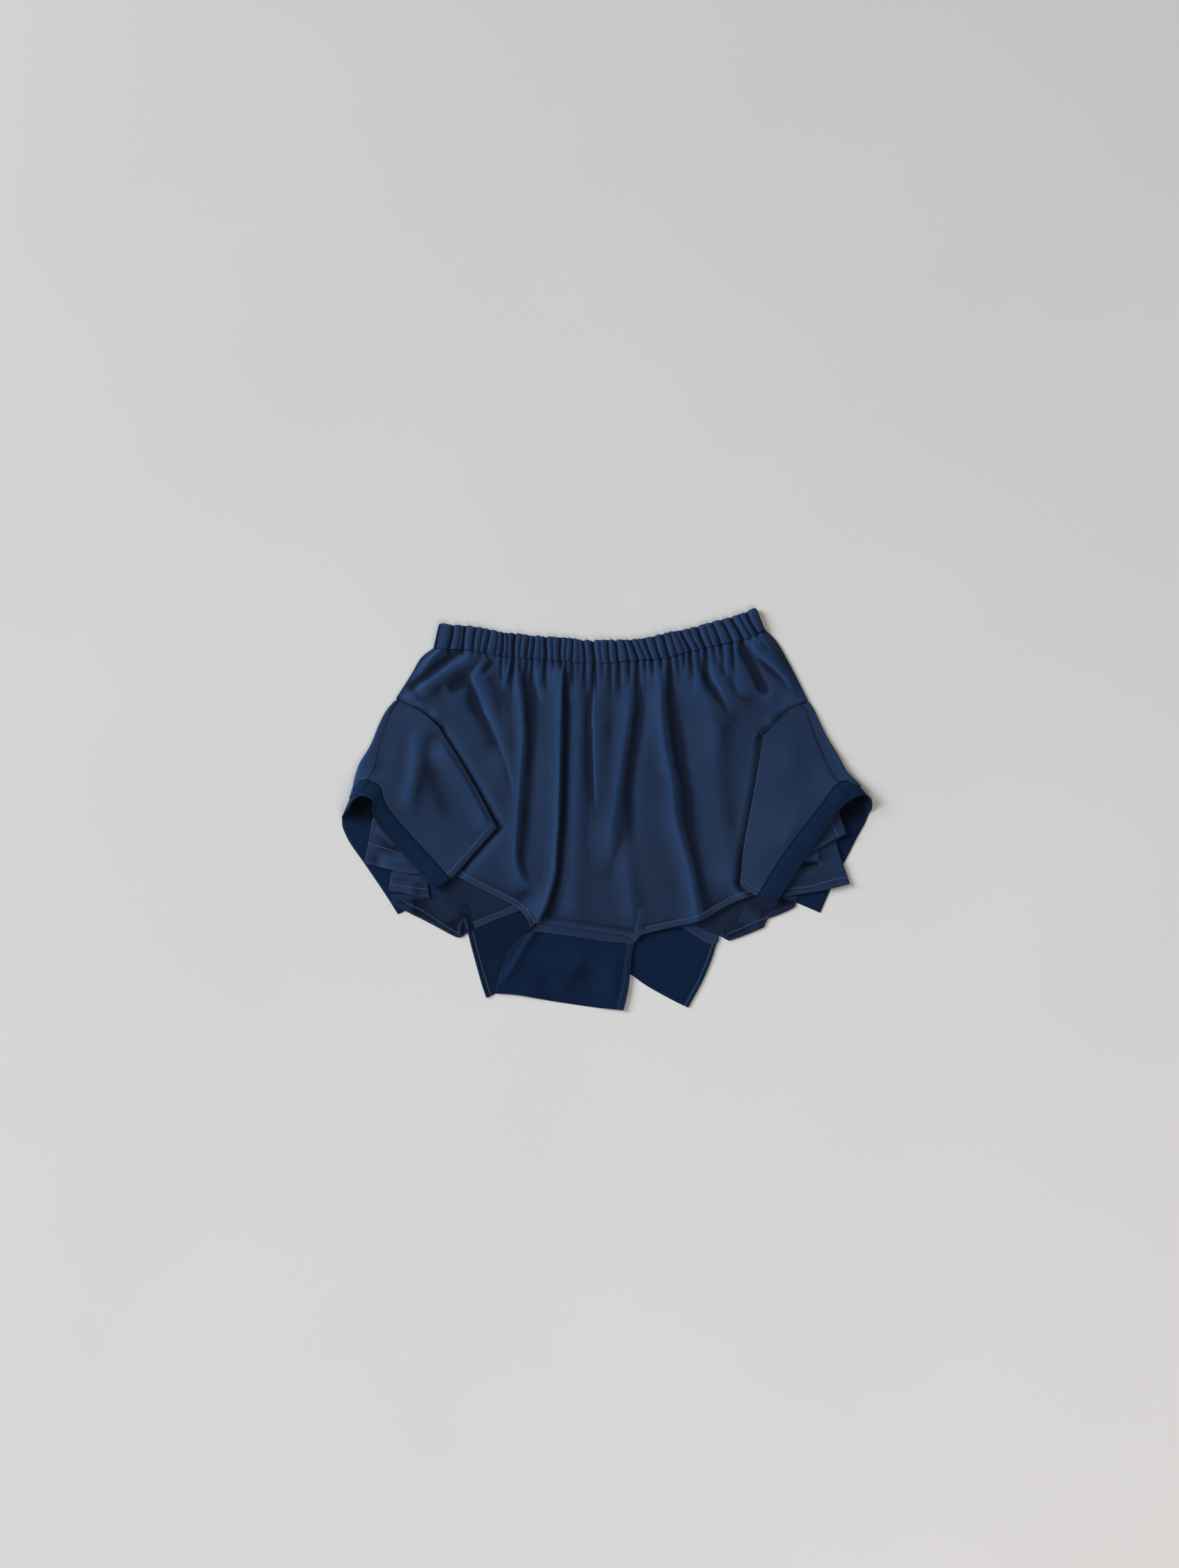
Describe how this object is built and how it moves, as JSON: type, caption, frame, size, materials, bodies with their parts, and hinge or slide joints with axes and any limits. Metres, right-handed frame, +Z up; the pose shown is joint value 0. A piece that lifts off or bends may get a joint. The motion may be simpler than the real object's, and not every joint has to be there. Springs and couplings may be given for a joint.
{
  "type": "mini skirt made over from a polo shirt, laid flat",
  "caption": "Gathered elastic-waist mini skirt remade from an upside-down polo shirt, sleeves at the hips and cut collar at the hem, laid flat.",
  "frame": {"origin": "middle of the outline on the surface that the skirt lies on", "axes": "+X to the right of the picture, +Y towards the waistband, +Z up from the surface"},
  "size_m": [0.5976, 0.4528, 0.0156],
  "materials": {
    "panel_pique": "matt washed pique, lattice weave, faded along folds and hems",
    "waistband_pique": "matt washed pique gathered over elastic",
    "sleeve_pique": "matt washed pique, finer and smoother than the panels",
    "neck_pique": "matt washed pique strip and tape",
    "flat_knit": "darker fine flat knit, soft sheen"
  },
  "bodies": {
    "root": {"back_panel": "panel_pique", "collar_center": "flat_knit", "collar_leaf_left": "flat_knit", "collar_leaf_right": "flat_knit", "cuff_left": "flat_knit", "cuff_right": "flat_knit", "front_panel": "panel_pique", "neck_strip": "neck_pique", "neck_tape_left": "neck_pique", "neck_tape_right": "neck_pique", "shoulder_fold_left_lower": "panel_pique", "shoulder_fold_left_upper": "panel_pique", "shoulder_fold_right_lower": "panel_pique", "shoulder_fold_right_upper": "panel_pique", "sleeve_left_back": "sleeve_pique", "sleeve_left_front": "sleeve_pique", "sleeve_right_back": "sleeve_pique", "sleeve_right_front": "sleeve_pique", "waistband": "waistband_pique"}
  },
  "joints": []
}
